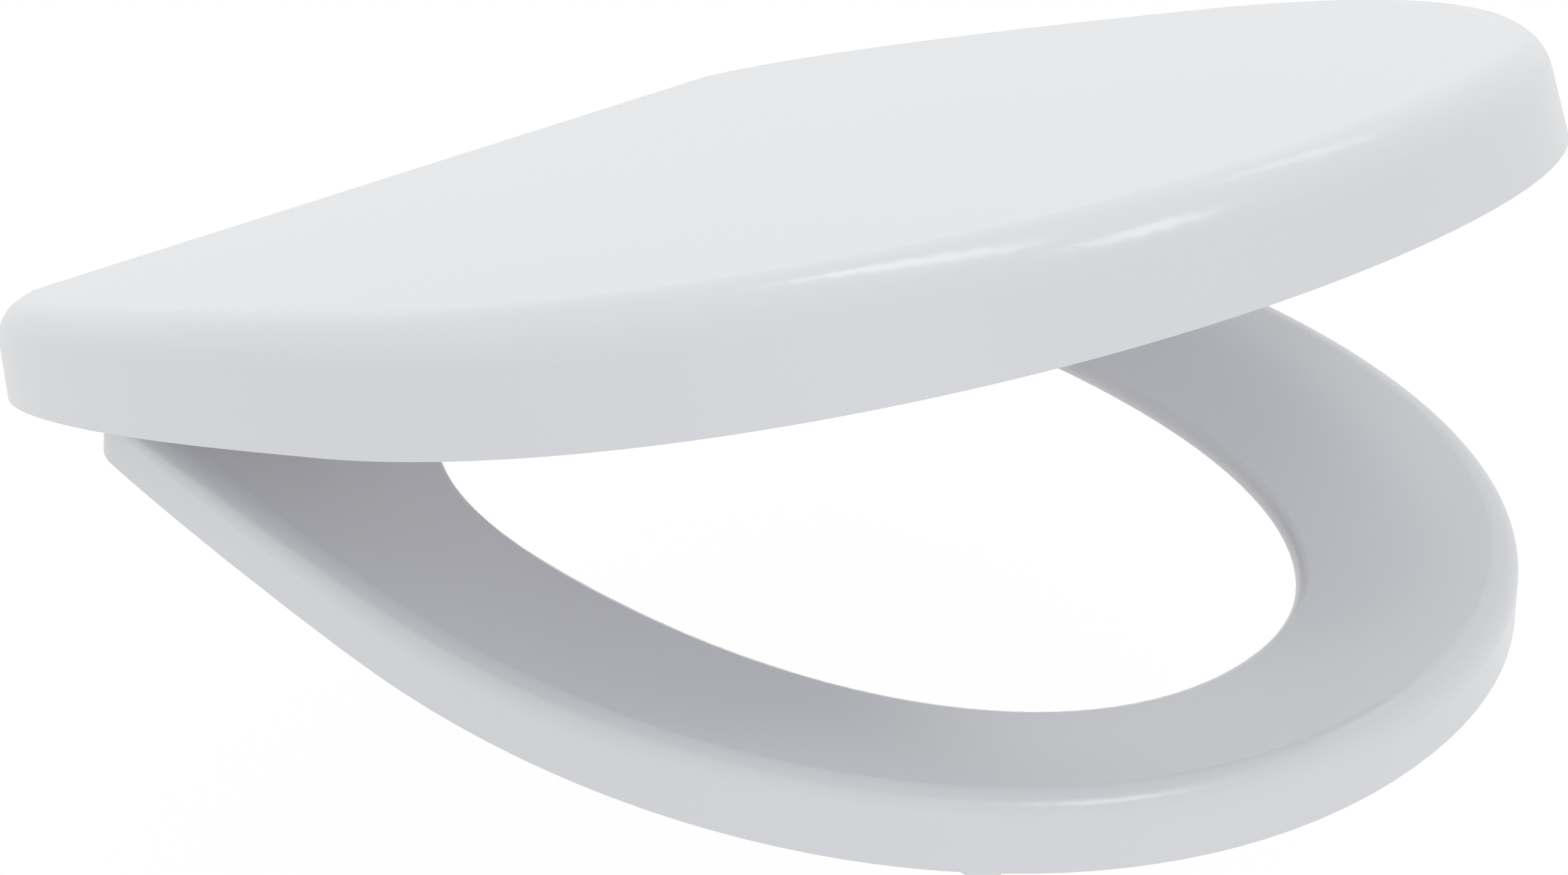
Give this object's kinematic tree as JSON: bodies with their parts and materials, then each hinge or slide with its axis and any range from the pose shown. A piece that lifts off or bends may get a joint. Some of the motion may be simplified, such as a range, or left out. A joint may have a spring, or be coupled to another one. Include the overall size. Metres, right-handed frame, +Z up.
{
  "type": "toilet seat",
  "caption": "D-shaped toilet seat: a wrap-over lid and a dished ring with an oval hole turn on damped hinges that bolt to a bowl.",
  "frame": {"origin": "on the bowl's deck, midway between the two fixing holes", "axes": "X across the seat, -Y to the front of the seat, +Z up from the deck"},
  "size_m": [0.3716, 0.4336, 0.2374],
  "materials": {
    "lid_white": "glossy moulded white",
    "ring_white": "glossy moulded white",
    "hinge_chrome": "polished plate",
    "pin_steel": "turned",
    "fixing_steel": "stainless, turned and pressed",
    "gasket_rubber": "soft, dark grey",
    "cone_rubber": "soft, black",
    "buffer_rubber": "soft, off-white",
    "fixing_nylon": "moulded natural nylon",
    "damper_plastic": "moulded grey"
  },
  "bodies": {
    "base": {"hinge_arm_left": "hinge_chrome", "hinge_pin_left": "pin_steel", "grub_screw_left": "pin_steel", "cover_rosette_left": "hinge_chrome", "mounting_plate_left": "fixing_steel", "gasket_left": "gasket_rubber", "locating_stud_left": "fixing_steel", "threaded_rod_left": "fixing_steel", "centring_cone_left": "cone_rubber", "washer_left": "fixing_nylon", "wing_nut_left": "fixing_nylon", "hinge_arm_right": "hinge_chrome", "hinge_pin_right": "pin_steel", "grub_screw_right": "pin_steel", "cover_rosette_right": "hinge_chrome", "mounting_plate_right": "fixing_steel", "gasket_right": "gasket_rubber", "locating_stud_right": "fixing_steel", "threaded_rod_right": "fixing_steel", "centring_cone_right": "cone_rubber", "washer_right": "fixing_nylon", "wing_nut_right": "fixing_nylon", "lid_damper_rotor": "damper_plastic", "ring_damper_rotor": "damper_plastic"},
    "ring": {"seat_ring": "ring_white", "ring_buffer_front_left": "buffer_rubber", "ring_buffer_rear_left": "buffer_rubber", "ring_buffer_front_right": "buffer_rubber", "ring_buffer_rear_right": "buffer_rubber", "ring_damper_housing": "damper_plastic", "ring_damper_plug": "damper_plastic", "ring_bush": "damper_plastic"},
    "lid": {"lid": "lid_white", "lid_buffer_front_left": "buffer_rubber", "lid_buffer_rear_left": "buffer_rubber", "lid_buffer_front_right": "buffer_rubber", "lid_buffer_rear_right": "buffer_rubber", "lid_damper_housing": "damper_plastic", "lid_damper_plug": "damper_plastic", "lid_bush": "damper_plastic"}
  },
  "joints": [
    {"name": "ring_hinge", "type": "hinge", "parent": "base", "child": "ring", "pos_m": [0, 0.02, 0.019], "axis": [-1, 0, 0], "range_deg": [0, 95]},
    {"name": "lid_hinge", "type": "hinge", "parent": "ring", "child": "lid", "pos_m": [0, 0.02, 0.019], "axis": [-1, 0, 0], "range_deg": [-19.2, 85.8]}
  ]
}
